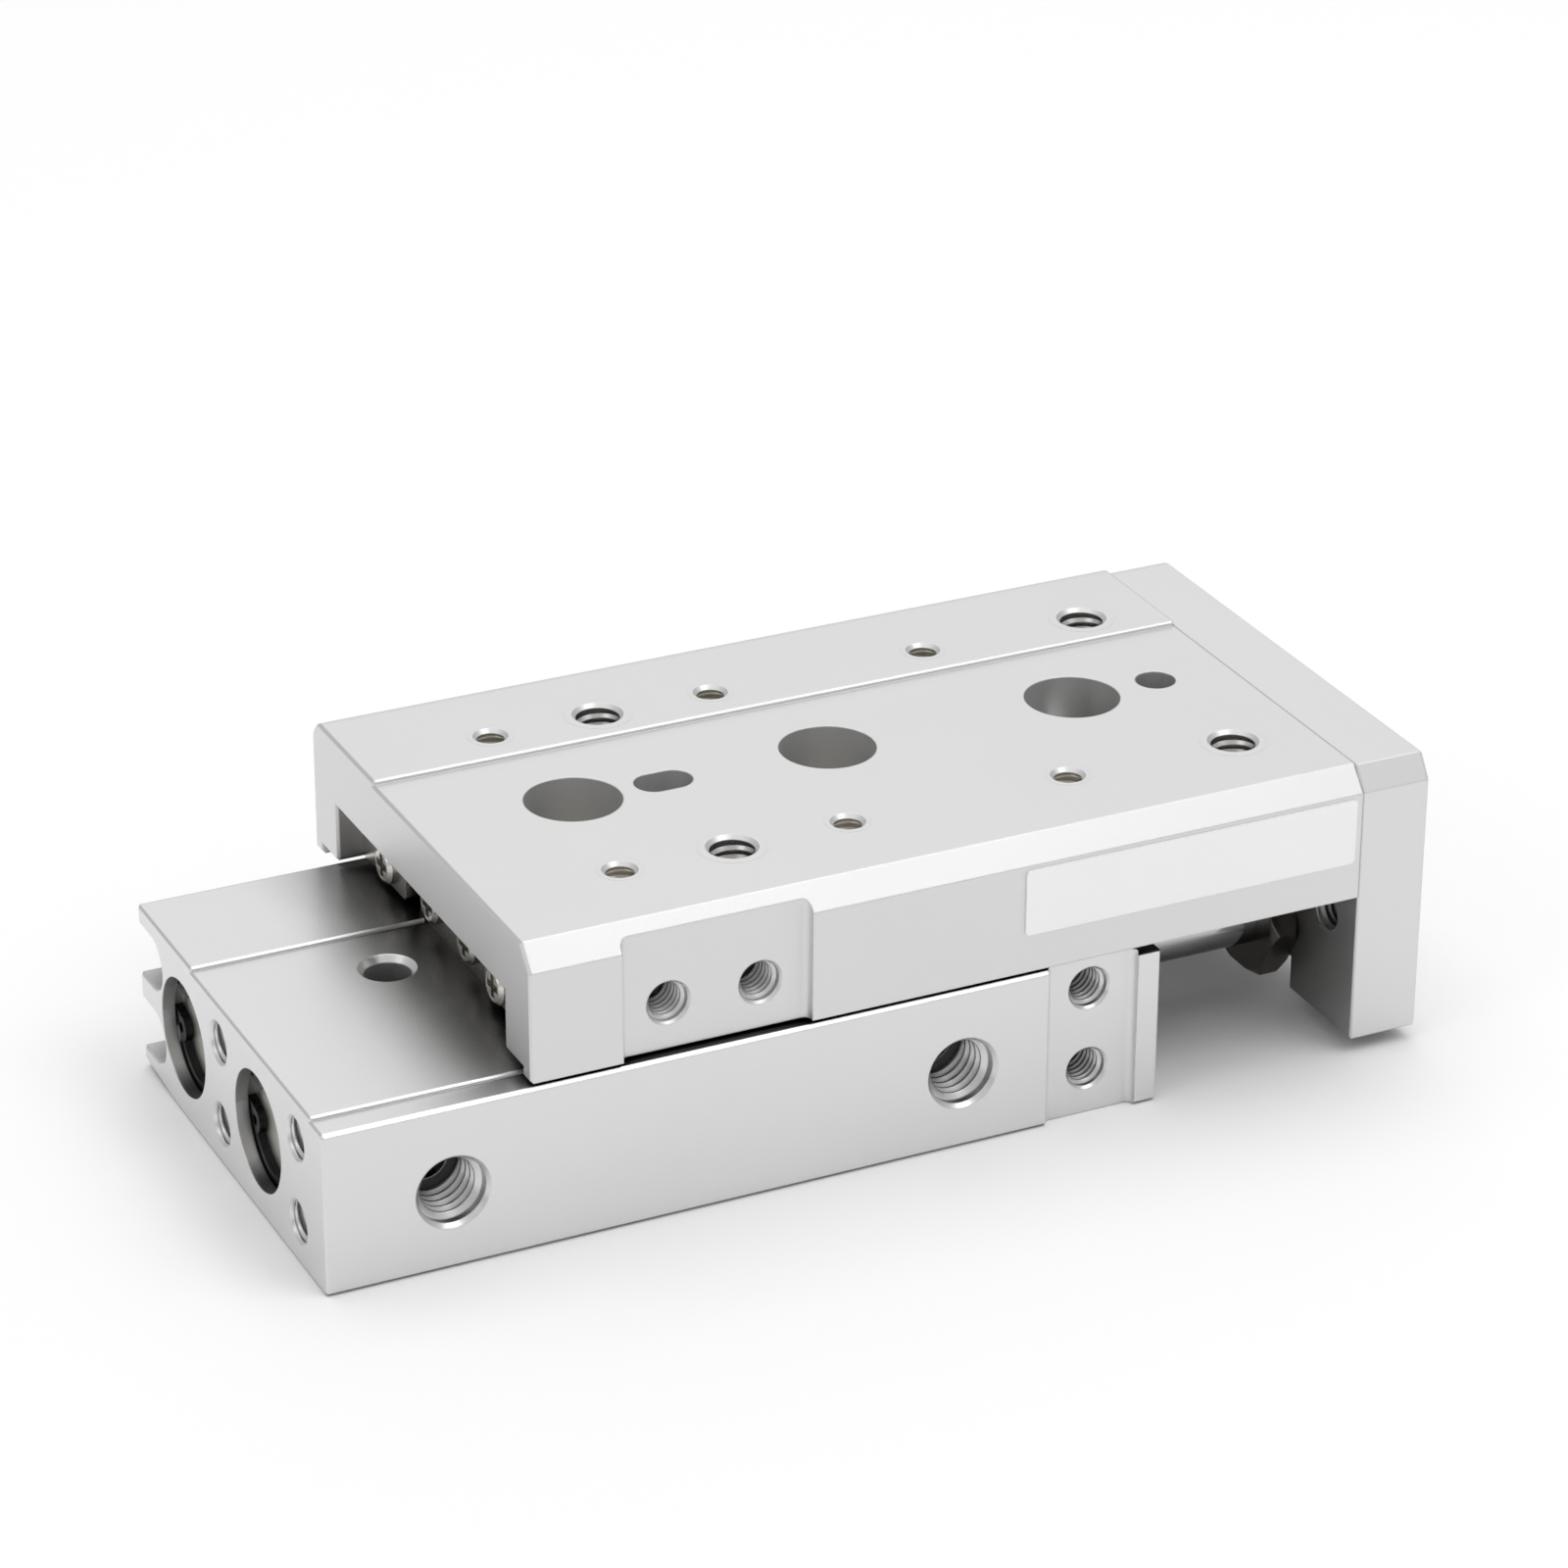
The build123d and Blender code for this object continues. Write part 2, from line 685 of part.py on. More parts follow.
# End plate, with a leg that reaches down on the near side
plate_bottom_z = bore_height - plate_margin
with BuildPart() as end_plate:
    with BuildSketch(facing_front(table_front_x)) as plate_section:
        with BuildLine():
            Polyline(
                (near_y, plate_leg_gap),
                (near_y + plate_leg_width, plate_leg_gap),
                (near_y + plate_leg_width, plate_bottom_z),
                (table_far_y, plate_bottom_z),
                (table_far_y, table_height),
                (near_y + plate_bevel_width, table_height),
                (near_y, table_height - near_bevel_height),
                close=True,
            )
        make_face()
        for z, radius in ((table_height, far_corner_radius), (plate_bottom_z, plate_corner_radius)):
            fillet(plate_section.vertices().sort_by_distance((table_far_y, z))[0], radius)
    extrude(amount=plate_thickness)
    chamfer(end_plate.faces().sort_by(Axis.X)[-1].outer_wire().edges(), plate_edge)
    chamfer(end_plate.faces().sort_by(Axis.X)[0].outer_wire().edges(), plate_edge / 2)
    with Locations(*[facing_front(plate_front_x, y, z) for y, z in plate_screw_places + rod_places]):
        CounterBoreHole(clear_m25 / 2, seat_m25 / 2, seat_m25_depth, depth=plate_thickness)
    with Locations(facing_front(plate_front_x, near_y + stop_tap_inset, bore_height + stop_tap_rise)):
        Hole(thread_m3 / 2, depth=plate_thickness)
save(end_plate, "end_plate")

seat_x = plate_front_x - seat_m25_depth
plate_seats = [facing_front(seat_x, y, z) for y, z in plate_screw_places]
rod_seats = [facing_front(seat_x, y, z) for y, z in rod_places]
save(cap_screws(plate_seats, head_m25, head_m25_height, thread_m25, plate_screw_length), "end_plate_screws")
save(cap_screws(rod_seats, head_m25, head_m25_height, thread_m25, rod_screw_length), "rod_screws")

# Piston rods: thinned where they pass through the piston and the nut, and tapped at the front
stud_radius = stud_diameter / 2
rod_tap_depth = rod_screw_length - (plate_thickness - seat_m25_depth) + tap_clearance
for side, sign in sides.items():
    with BuildPart() as rod:
        with BuildSketch(bore_section(sign)):
            with BuildLine():
                Polyline(
                    (piston_rear_x - bumper_length, 0),
                    (piston_rear_x - bumper_length, stud_radius),
                    (piston_front_x, stud_radius),
                    (piston_front_x, rod_diameter / 2),
                    (nut_rear_x, rod_diameter / 2),
                    (nut_rear_x, stud_radius),
                    (table_front_x, stud_radius),
                    (table_front_x, thread_m25 / 2),
                    (table_front_x - rod_tap_depth, thread_m25 / 2),
                    (table_front_x - rod_tap_depth, 0),
                    close=True,
                )
            make_face()
        revolve(axis=bore_axis(sign))
    save(rod, "rod_" + side)

    with BuildPart() as piston:
        with BuildSketch(bore_section(sign)):
            with BuildLine():
                Polyline(
                    (piston_rear_x, stud_radius),
                    (piston_rear_x, piston_radius),
                    (magnet_x, piston_radius),
                    (magnet_x, piston_radius - magnet_depth),
                    (magnet_x + magnet_width, piston_radius - magnet_depth),
                    (magnet_x + magnet_width, piston_radius),
                    (piston_seal_x, piston_radius),
                    (piston_seal_x, piston_radius - seal_depth),
                    (piston_seal_x + seal_width, piston_radius - seal_depth),
                    (piston_seal_x + seal_width, piston_radius),
                    (piston_front_x, piston_radius),
                    (piston_front_x, stud_radius),
                    close=True,
                )
            make_face()
        revolve(axis=bore_axis(sign))
    save(piston, "piston_" + side)

    # Hexagonal floating nut between the rod and the end plate: two cones take its corners off
    with BuildPart() as rod_nut:
        with BuildSketch(facing_front(nut_rear_x, sign * bore_y, bore_height)):
            RegularPolygon(nut_across_flats / 2, 6, major_radius=False)
            Circle(stud_radius, mode=Mode.SUBTRACT)
        extrude(amount=nut_length)
        with BuildSketch(bore_section(sign)):
            with BuildLine():
                Polyline(
                    (nut_rear_x, 0),
                    (nut_rear_x, nut_face_radius),
                    (nut_rear_x + nut_length / 2, nut_cone_radius),
                    (table_front_x, nut_face_radius),
                    (table_front_x, 0),
                    close=True,
                )
            make_face()
        revolve(axis=bore_axis(sign), mode=Mode.INTERSECT)
    save(rod_nut, "rod_nut_" + side)

# Piston seals and ring magnets
with BuildPart() as piston_seals:
    for sign in sides.values():
        with BuildSketch(bore_section(sign)):
            with Locations((piston_seal_x + seal_width / 2, piston_radius - seal_depth)):
                Rectangle(seal_width, seal_depth + piston_clearance - seal_clearance,
                          align=(Align.CENTER, Align.MIN))
        revolve(axis=bore_axis(sign))
save(piston_seals, "piston_seals")

with BuildPart() as piston_magnets:
    for sign in sides.values():
        with BuildSketch(bore_section(sign)):
            with Locations((magnet_x + magnet_width / 2, piston_radius - magnet_depth)):
                Rectangle(magnet_width, magnet_depth, align=(Align.CENTER, Align.MIN))
        revolve(axis=bore_axis(sign))
save(piston_magnets, "piston_magnets")

# Rubber bumpers on both ends of the pistons
with BuildPart() as piston_bumpers:
    for y, z in rod_places:
        for bumper_x, hole_radius in (
            (piston_rear_x - bumper_length, stud_radius),
            (piston_front_x, rod_diameter / 2),
        ):
            with BuildSketch(facing_front(bumper_x, y, z)):
                Circle(bumper_diameter / 2)
                Circle(hole_radius, mode=Mode.SUBTRACT)
            extrude(amount=bumper_length)
save(piston_bumpers, "piston_bumpers")

# Bare label plate on the near leg
with BuildPart() as label_plate:
    with BuildSketch(facing_near(label_middle_x, near_y, table_height - label_top - label_width / 2)):
        RectangleRounded(label_length, label_width, label_radius)
    extrude(amount=label_thickness)
save(label_plate, "label_plate")
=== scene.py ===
import math

import bmesh
import bpy
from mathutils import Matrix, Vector
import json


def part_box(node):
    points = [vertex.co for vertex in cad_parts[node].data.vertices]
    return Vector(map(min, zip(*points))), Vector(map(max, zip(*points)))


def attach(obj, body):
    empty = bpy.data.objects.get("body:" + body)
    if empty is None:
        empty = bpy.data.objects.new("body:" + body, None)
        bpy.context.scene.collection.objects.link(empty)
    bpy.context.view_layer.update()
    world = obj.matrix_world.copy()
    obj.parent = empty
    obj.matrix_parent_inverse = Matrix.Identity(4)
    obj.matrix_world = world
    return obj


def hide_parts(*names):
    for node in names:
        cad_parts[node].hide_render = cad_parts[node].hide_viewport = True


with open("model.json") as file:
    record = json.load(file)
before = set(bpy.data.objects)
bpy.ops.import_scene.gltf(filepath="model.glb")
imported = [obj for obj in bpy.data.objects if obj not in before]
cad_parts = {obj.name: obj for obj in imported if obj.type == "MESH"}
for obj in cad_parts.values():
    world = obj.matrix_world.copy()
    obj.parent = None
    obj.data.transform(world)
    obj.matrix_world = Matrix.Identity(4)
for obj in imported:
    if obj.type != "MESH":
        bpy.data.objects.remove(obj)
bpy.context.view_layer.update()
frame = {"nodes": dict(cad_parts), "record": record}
print("frame loaded")

# Sizes are in metres and mm turns a millimetre value into one.
mm = 0.001

# The photograph's camera, solved from the hole grid of the table
view = {
    "place": (-143.66 * mm, -319.56 * mm, 193.83 * mm),
    "turn": (64.010, -0.242, -25.698),
    "lens": 126.01,
    "sensor": 36.0,
    "nearest": 0.01,
    "farthest": 20,
}

# Threads: nominal diameter to pitch, as metric coarse threads have them
threadPitch = {3.0: 0.5, 4.0: 0.7, 5.0: 0.8}
mounts = {mount["name"]: mount for mount in frame["record"]["mounts"]}


def makeCamera():
    data = bpy.data.cameras.new("photoCamera")
    data.lens = view["lens"]
    data.sensor_width = view["sensor"]
    data.clip_start = view["nearest"]
    data.clip_end = view["farthest"]
    camera = bpy.data.objects.new("photoCamera", data)
    camera.location = view["place"]
    camera.rotation_euler = [math.radians(angle) for angle in view["turn"]]
    bpy.context.scene.collection.objects.link(camera)
    bpy.context.scene.camera = camera


makeCamera()
print("camera placed")


# Materials. A finish says how a surface looks: its colour, how metallic and rough it is, how cloudy,
# how deep its fine grain is and how the grain is stretched, and how round its edges catch the light.
# Painted shades darken the base colour where little of the sky is free, as painted shade in holes, gaps and
# under other parts: reach is the width in mm of the gaps that count, and dark what is left of the colour
# where the share of free sky is closed or less, rising to all of it at open. With facing, only faces that
# look that way are darkened, from not at all at the first value of turn to fully at the second.
plainFinish = {
    "metallic": 1.0,
    "roughness": 0.4,
    "cloud": 0.03,
    "grain": 0.08,
    "lines": (1, 1, 1),
    "edge": 0.1,
    "paintedShades": [],
    "coat": 0.0,
}
plainPaintedShade = {"closed": 0.1}

# What all finishes share: the size and detail of the cloudy patches and of the grain, how far the grain
# changes the roughness, its depth in mm, and the rays that each shading node sends out
texture = {
    "patchScale": 90,
    "patchDetail": 3,
    "grainScale": 5000,
    "grainDetail": 4,
    "roughSpread": 0.15,
    "grainDepth": 0.01,
    "rays": 6,
}


# Paints shade into a colour: an ambient occlusion node darkens it where little of the sky is free
def paintShade(nodes, links, colour, settings):
    shadeSettings = plainPaintedShade | settings
    sky = nodes.new("ShaderNodeAmbientOcclusion")
    sky.samples = texture["rays"]
    sky.inputs["Distance"].default_value = shadeSettings["reach"] * mm
    depth = nodes.new("ShaderNodeMapRange")
    depth.inputs["From Min"].default_value = shadeSettings["closed"]
    depth.inputs["From Max"].default_value = shadeSettings["open"]
    depth.inputs["To Min"].default_value = shadeSettings["dark"]
    links.new(sky.outputs["AO"], depth.inputs["Value"])
    shaded = nodes.new("ShaderNodeMix")
    shaded.data_type = "RGBA"
    shaded.blend_type = "MULTIPLY"
    shaded.inputs[0].default_value = 1
    links.new(colour, shaded.inputs[6])
    links.new(depth.outputs["Result"], shaded.inputs[7])
    if "facing" in shadeSettings:
        surface = nodes.new("ShaderNodeNewGeometry")
        toward = nodes.new("ShaderNodeVectorMath")
        toward.operation = "DOT_PRODUCT"
        toward.inputs[1].default_value = shadeSettings["facing"]
        links.new(surface.outputs["Normal"], toward.inputs[0])
        share = nodes.new("ShaderNodeMapRange")
        share.inputs["From Min"].default_value = shadeSettings["turn"][0]
        share.inputs["From Max"].default_value = shadeSettings["turn"][1]
        links.new(toward.outputs["Value"], share.inputs["Value"])
        links.new(share.outputs["Result"], shaded.inputs[0])
    return shaded.outputs[2]


def makeFinish(name, colour, **settings):
    look = plainFinish | settings
    material = bpy.data.materials.new(name)
    material.use_nodes = True
    nodes = material.node_tree.nodes
    links = material.node_tree.links
    shader = nodes["Principled BSDF"]
    shader.inputs["Metallic"].default_value = look["metallic"]
    shader.inputs["Coat Weight"].default_value = look["coat"]

    where = nodes.new("ShaderNodeTexCoord")
    patches = nodes.new("ShaderNodeTexNoise")
    patches.inputs["Scale"].default_value = texture["patchScale"]
    patches.inputs["Detail"].default_value = texture["patchDetail"]
    links.new(where.outputs["Object"], patches.inputs["Vector"])

    tint = nodes.new("ShaderNodeMix")
    tint.data_type = "RGBA"
    tint.inputs[6].default_value = [c * (1 - look["cloud"]) for c in colour] + [1]
    tint.inputs[7].default_value = [min(1, c * (1 + look["cloud"])) for c in colour] + [1]
    links.new(patches.outputs["Fac"], tint.inputs[0])

    skin = tint.outputs[2]
    # The base colour gets each painted shade of the finish in turn
    for shadeSettings in look["paintedShades"]:
        skin = paintShade(nodes, links, skin, shadeSettings)
    links.new(skin, shader.inputs["Base Color"])

    stretch = nodes.new("ShaderNodeMapping")
    stretch.inputs["Scale"].default_value = look["lines"]
    links.new(where.outputs["Object"], stretch.inputs["Vector"])
    grains = nodes.new("ShaderNodeTexNoise")
    grains.inputs["Scale"].default_value = texture["grainScale"]
    grains.inputs["Detail"].default_value = texture["grainDetail"]
    links.new(stretch.outputs["Vector"], grains.inputs["Vector"])

    rough = nodes.new("ShaderNodeMapRange")
    rough.inputs["To Min"].default_value = look["roughness"] * (1 - texture["roughSpread"])
    rough.inputs["To Max"].default_value = min(1, look["roughness"] * (1 + texture["roughSpread"]))
    links.new(grains.outputs["Fac"], rough.inputs["Value"])
    links.new(rough.outputs["Result"], shader.inputs["Roughness"])

    rounding = nodes.new("ShaderNodeBevel")
    rounding.samples = texture["rays"]
    rounding.inputs["Radius"].default_value = look["edge"] * mm
    bump = nodes.new("ShaderNodeBump")
    bump.inputs["Strength"].default_value = look["grain"]
    bump.inputs["Distance"].default_value = texture["grainDepth"] * mm
    links.new(grains.outputs["Fac"], bump.inputs["Height"])
    links.new(rounding.outputs["Normal"], bump.inputs["Normal"])
    links.new(bump.outputs["Normal"], shader.inputs["Normal"])
    return material


along = {"lines": (0.06, 1, 1)}
turned = {"lines": (1, 0.1, 0.1), "grain": 0.2}
anodised = {"metallic": 0.85, "cloud": 0.012, "grain": 0.12, "edge": 0.16}
# Painted shades by where they fall: in the table's, body's and plate's holes, in the guide's gaps, in screw
# recesses, in the bores and in the insert coils
paintedShades = {
    "tableHoles": {"dark": 0.8, "reach": 4, "open": 0.5},
    "bodyHoles": {"dark": 0.45, "reach": 4, "open": 0.45},
    # Painted shade on the body's up-facing top under the table's overhang, darkest where the table closes
    # off the sky
    "underTable": {
        "dark": 0,
        "closed": 0.36,
        "reach": 9,
        "open": 0.9,
        "facing": (0, 0, 1),
        "turn": (0.8, 1),
    },
    "plateHoles": {"dark": 0.3, "reach": 6, "open": 0.45},
    # Painted shade on the end plate's rear-facing faces, which lie in the shadow of the table and body
    "behindPlate": {"dark": 0.25, "reach": 20, "open": 0.8, "facing": (-1, 0, 0), "turn": (0.5, 0.9)},
    "guideGaps": {"dark": 0.5, "reach": 3, "open": 0.4},
    "recesses": {"dark": 0.35, "reach": 1.5, "open": 0.5},
    # Painted shade on the rods' lower, downward-facing side
    "underRod": {"dark": 0.1, "reach": 20, "open": 0.8, "facing": (0, -0.4, -0.9), "turn": (0.1, 0.9)},
    "bores": {"dark": 0.35, "reach": 6, "open": 0.6},
    "inserts": {"dark": 0.2, "reach": 4, "open": 0.5},
}
shadeOf = {
    "table": {"paintedShades": [paintedShades["tableHoles"]]},
    "body": {"paintedShades": [paintedShades["bodyHoles"], paintedShades["underTable"]]},
    "plate": {"paintedShades": [paintedShades["plateHoles"], paintedShades["behindPlate"]]},
    "guide": {"paintedShades": [paintedShades["guideGaps"]]},
    "screws": {"paintedShades": [paintedShades["recesses"]]},
    "rod": {"paintedShades": [paintedShades["underRod"]]},
    "caps": {"paintedShades": [paintedShades["bores"]]},
    "inserts": {"paintedShades": [paintedShades["inserts"]]},
}
steel = {
    "guide": {"roughness": 0.26, **along, **shadeOf["guide"]},
    "screw": {"roughness": 0.24, **shadeOf["screws"]},
    "rod": {"roughness": 0.1, "grain": 0.03, **along, **shadeOf["rod"]},
    "nut": {"roughness": 0.24, "grain": 0.04, "edge": 0.24},
}
table = {**anodised, "roughness": 0.42, **shadeOf["table"]}
body = {**anodised, **along, "roughness": 0.32, **shadeOf["body"]}
plate = {**anodised, "roughness": 0.42, **shadeOf["plate"]}
rim = {**anodised, "roughness": 0.42, "edge": 0.03}
materials = {
    "tableSkin": makeFinish("table_anodised", (0.72, 0.72, 0.718), **table),
    "bodySkin": makeFinish("body_anodised", (0.73, 0.732, 0.73), **body),
    "plateSkin": makeFinish("end_plate_anodised", (0.73, 0.73, 0.728), **plate),
    "guideSteel": makeFinish("ground_guide_steel", (0.68, 0.655, 0.6), **steel["guide"]),
    "rollerSteel": makeFinish("polished_roller_steel", (0.68, 0.67, 0.65), roughness=0.14),
    "cageBrass": makeFinish("pressed_brass_cage", (0.6, 0.46, 0.24), roughness=0.32, cloud=0.08),
    "screwSteel": makeFinish("nickel_screw_steel", (0.8, 0.775, 0.71), **steel["screw"]),
    "rodSteel": makeFinish("hard_chrome_rod", (0.62, 0.62, 0.63), **steel["rod"]),
    "nutSteel": makeFinish("dark_nickel_nut", (0.11, 0.1, 0.09), **steel["nut"]),
    "insertSteel": makeFinish("bright_insert", (0.72, 0.71, 0.69), roughness=0.3, **shadeOf["inserts"]),
    "tipSteel": makeFinish("nickel_screw_tip", (0.72, 0.69, 0.62), roughness=0.35),
    "ringSteel": makeFinish("black_spring_ring", (0.03, 0.03, 0.031), roughness=0.34, cloud=0.1),
    "turnedAluminium": makeFinish("turned_aluminium", (0.72, 0.72, 0.72), **turned, roughness=0.32),
    # The head caps are darker than the turned aluminium: partly their own warm tone, partly painted shade
    # for the dark bores they sit in
    "capAluminium": makeFinish("turned_cap", (0.6, 0.58, 0.54), **turned, **shadeOf["caps"]),
    "glandBrass": makeFinish("turned_gland_brass", (0.55, 0.43, 0.24), **turned, roughness=0.3),
    "sealRubber": makeFinish("black_seal_rubber", (0.018, 0.018, 0.018), metallic=0, roughness=0.6),
    "magnetPlastic": makeFinish("dark_magnet", (0.05, 0.045, 0.04), metallic=0.3, roughness=0.5),
    "labelFilm": makeFinish("white_label_film", (0.97, 0.97, 0.965), metallic=0, roughness=0.3, coat=0.25),
    "rimSkin": makeFinish("hole_rim_anodised", (0.72, 0.72, 0.718), **rim),
}

nodeFinish = {
    "tableSkin": ["table"],
    "bodySkin": ["body_block"],
    "plateSkin": ["end_plate"],
    "guideSteel": ["guide_block", "rail_near", "rail_far"],
    "rollerSteel": ["rollers_near", "rollers_far"],
    "cageBrass": ["cage_near", "cage_far"],
    "screwSteel": [
        "guide_block_screws",
        "guide_block_end_screws",
        "rail_end_screws",
        "end_plate_screws",
        "rod_screws",
    ],
    "tipSteel": ["rail_screws"],
    "rodSteel": ["rod_near", "rod_far"],
    "nutSteel": ["rod_nut_near", "rod_nut_far"],
    "insertSteel": ["thread_inserts"],
    "ringSteel": ["retaining_rings"],
    "turnedAluminium": ["piston_near", "piston_far"],
    "capAluminium": ["head_cap_near", "head_cap_far"],
    "glandBrass": ["rod_gland_near", "rod_gland_far"],
    "sealRubber": ["o_rings", "rod_seals", "piston_seals", "piston_bumpers"],
    "magnetPlastic": ["piston_magnets"],
    "labelFilm": ["label_plate"],
}
for key, names in nodeFinish.items():
    for name in names:
        mesh = frame["nodes"][name].data
        mesh.materials.clear()
        mesh.materials.append(materials[key])
print("finishes given to", sum(len(names) for names in nodeFinish.values()), "nodes")


# In the added pieces, edges that turn by more degrees than this are drawn sharp.
sharpAngle = 30


def addPiece(name, mesh, body, key):
    bmesh.ops.recalc_face_normals(mesh, faces=mesh.faces)
    data = bpy.data.meshes.new(name)
    mesh.to_mesh(data)
    mesh.free()
    data.materials.append(materials[key])
    for face in data.polygons:
        face.use_smooth = True
    data.set_sharp_from_angle(angle=math.radians(sharpAngle))
    piece = bpy.data.objects.new(name, data)
    bpy.context.scene.collection.objects.link(piece)
    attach(piece, body)
    return piece


# A closed outline swept down a screw line, or once round where the pitch is 0. The outline's points are
# radius and height in mm.
def windOutline(mesh, top, axis, outline, pitch, turns, stepsPerTurn=28):
    axis = Vector(axis).normalized()
    across = -axis.orthogonal().normalized()
    ring = []
    for radius, height in outline:
        ring.append(mesh.verts.new(Vector(top) + (across * radius + axis * height) * mm))
    edges = [mesh.edges.new((ring[index - 1], ring[index])) for index in range(len(ring))]
    bmesh.ops.spin(
        mesh,
        geom=ring + edges,
        cent=top,
        axis=axis,
        dvec=axis * (-pitch * mm / stepsPerTurn),
        angle=2 * math.pi * turns,
        steps=round(turns * stepsPerTurn),
        use_merge=pitch == 0,
    )
    openEdges = [edge for edge in mesh.edges if edge.is_boundary or edge.is_wire]
    bmesh.ops.holes_fill(mesh, edges=openEdges, sides=len(outline))


# A thread's ridge: its height, and half its width at foot and crest, as shares of the pitch. Bite is how
# deep in mm it stands in the hole's wall, and fade the turns over which it rises and falls away at its ends.
ridge = {"height": 0.54, "foot": 0.48, "crest": 0.07, "bite": 0.03, "fade": 0.5}


# A thread in a hole: a ridge that winds inwards from the mouth
def addThread(mesh, mouth, axis, diameter, depth, sink):
    pitch = threadPitch[diameter]
    axis = Vector(axis).normalized()
    height = ridge["height"] * pitch
    foot = diameter / 2 + ridge["bite"]
    crest = diameter / 2 - height
    outline = [(foot, -ridge["foot"] * pitch), (crest, -ridge["crest"] * pitch)]
    outline += [(radius, -rise) for radius, rise in reversed(outline)]
    turns = (depth - sink) / pitch - 0.5
    top = Vector(mouth) - axis * (sink + pitch / 2) * mm
    before = set(mesh.verts)
    windOutline(mesh, top, axis, outline, pitch, turns)
    for vert in set(mesh.verts) - before:
        arm = vert.co - top
        down = -arm.dot(axis)
        out = arm + axis * down
        wound = down / (pitch * mm)
        fade = max(0, min(1, wound / ridge["fade"], (turns - wound) / ridge["fade"]))
        if out.length < diameter / 2 * mm:
            vert.co += out.normalized() * height * (1 - fade) * mm


# The places of a rectangular or inline hole pattern that the record states
def patternPlaces(mount):
    normal = [round(value) for value in mount["axis"]]
    first, second = [index for index in range(3) if not normal[index]]
    spans = mount["dims"].get("spacing_x_mm", 0) * mm, mount["dims"].get("spacing_y_mm", 0) * mm
    places = []
    for i in (-1, 1) if spans[0] else (0,):
        for j in (-1, 1) if spans[1] else (0,):
            place = Vector(mount["pos_m"])
            place[first] += i * spans[0] / 2
            place[second] += j * spans[1] / 2
            places.append(place)
    return places


tableLow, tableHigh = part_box("table")
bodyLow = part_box("body_block")[0]
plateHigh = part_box("end_plate")[1]

# How deep the shallow pockets are that the side's tapped holes stand in
sidePocket = {"table": 0.75 * mm, "body": 0.67 * mm}

# Each group of threads: its mount, the axis number and coordinate of the face that its holes start in, then
# their diameter, how deep the thread goes and how far in it starts, in mm, and its body and its finish
threadGroups = {
    "table_side_threads": {
        "mount": "table_side_holes",
        "face": (1, tableLow.y + sidePocket["table"]),
        "diameter": 3.0,
        "depth": 3.6,
        "sink": 0.15,
        "body": "table_unit",
        "skin": "tableSkin",
    },
    "body_side_threads": {
        "mount": "body_side_holes",
        "face": (1, bodyLow.y + sidePocket["body"]),
        "diameter": 3.0,
        "depth": 5.0,
        "sink": 0.12,
        "body": "body",
        "skin": "bodySkin",
    },
    "rear_threads": {
        "mount": "rear_holes",
        "face": (0, bodyLow.x),
        "diameter": 3.0,
        "depth": 5.0,
        "sink": 0.12,
        "body": "body",
        "skin": "bodySkin",
    },
    "rear_port_thread": {
        "mount": "port_rear",
        "face": (1, bodyLow.y),
        "diameter": 5.0,
        "depth": 4.8,
        "sink": 0.26,
        "body": "body",
        "skin": "bodySkin",
    },
    "front_port_thread": {
        "mount": "port_front",
        "face": (1, bodyLow.y),
        "diameter": 5.0,
        "depth": 4.8,
        "sink": 0.26,
        "body": "body",
        "skin": "bodySkin",
    },
    "stop_thread": {
        "mount": "stop_hole",
        "face": (0, plateHigh.x),
        "diameter": 3.0,
        "depth": 5.5,
        "sink": 0.15,
        "body": "table_unit",
        "skin": "plateSkin",
    },
}
for name, group in threadGroups.items():
    mount = mounts[group["mount"]]
    mesh = bmesh.new()
    for place in patternPlaces(mount):
        place[group["face"][0]] = group["face"][1]
        addThread(mesh, place, mount["axis"], group["diameter"], group["depth"], group["sink"])
    addPiece(name, mesh, group["body"], group["skin"])
print("threads cut in", len(threadGroups), "groups of holes")


# The work holes' inserts are coils with the thread on their inner side: a radius in mm and half a width as
# a share of the pitch, at the outer side, in the thread's valley and on its crest.
coil = {"outer": (2.35, 0.4), "valley": (1.75, 0.47), "crest": (1.56, 0.06), "turns": 5.5}


def addCoil(mesh, top):
    pitch = threadPitch[4.0]
    flank = [coil["outer"], coil["valley"], coil["crest"]]
    outline = [(radius, height * pitch) for radius, height in flank]
    outline += [(radius, -height) for radius, height in reversed(outline)]
    start = Vector(top) - Vector((0, 0, pitch * mm / 2))
    windOutline(mesh, start, (0, 0, 1), outline, pitch, coil["turns"], stepsPerTurn=36)


# The bright rims of the table's tapped holes: a ring with a cone from edge to inner, a short skirt below it
# and a thin lap round the hole that covers the seam
rimSizes = {
    "work": {"outer": 2.35, "edge": 1.9, "inner": 1.62},
    "small": {"outer": 1.5, "edge": 1.3, "inner": 1.02},
}
rimLap = {"width": 0.2, "top": 0.008, "foot": 0.001, "skirt": 0.06}


def addRim(mesh, mouth, size):
    top, foot = rimLap["top"], rimLap["foot"]
    drop = top - (size["edge"] - size["inner"])
    lapRadius = size["outer"] + rimLap["width"]
    low = drop - rimLap["skirt"]
    outline = [(lapRadius, top), (size["edge"], top), (size["inner"], drop), (size["inner"], low)]
    outline += [(size["outer"], low), (size["outer"], foot), (lapRadius, foot)]
    windOutline(mesh, mouth, (0, 0, 1), outline, pitch=0, turns=1, stepsPerTurn=64)


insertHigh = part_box("thread_inserts")[1]
insertMount = mounts["work_holes"]
# The table's far strip stands this many mm above the rest of its top.
stripRise = 0.35
coils = bmesh.new()
rims = bmesh.new()
for place in patternPlaces(insertMount):
    fall = 0 if place.y > 0 else stripRise * mm
    place.z = insertHigh.z - fall
    addCoil(coils, place)
    place.z = tableHigh.z - fall
    addRim(rims, place, rimSizes["work"])
insertCoils = addPiece("insert_coils", coils, "table_unit", "insertSteel")
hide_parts("thread_inserts")
print("wire inserts wound")

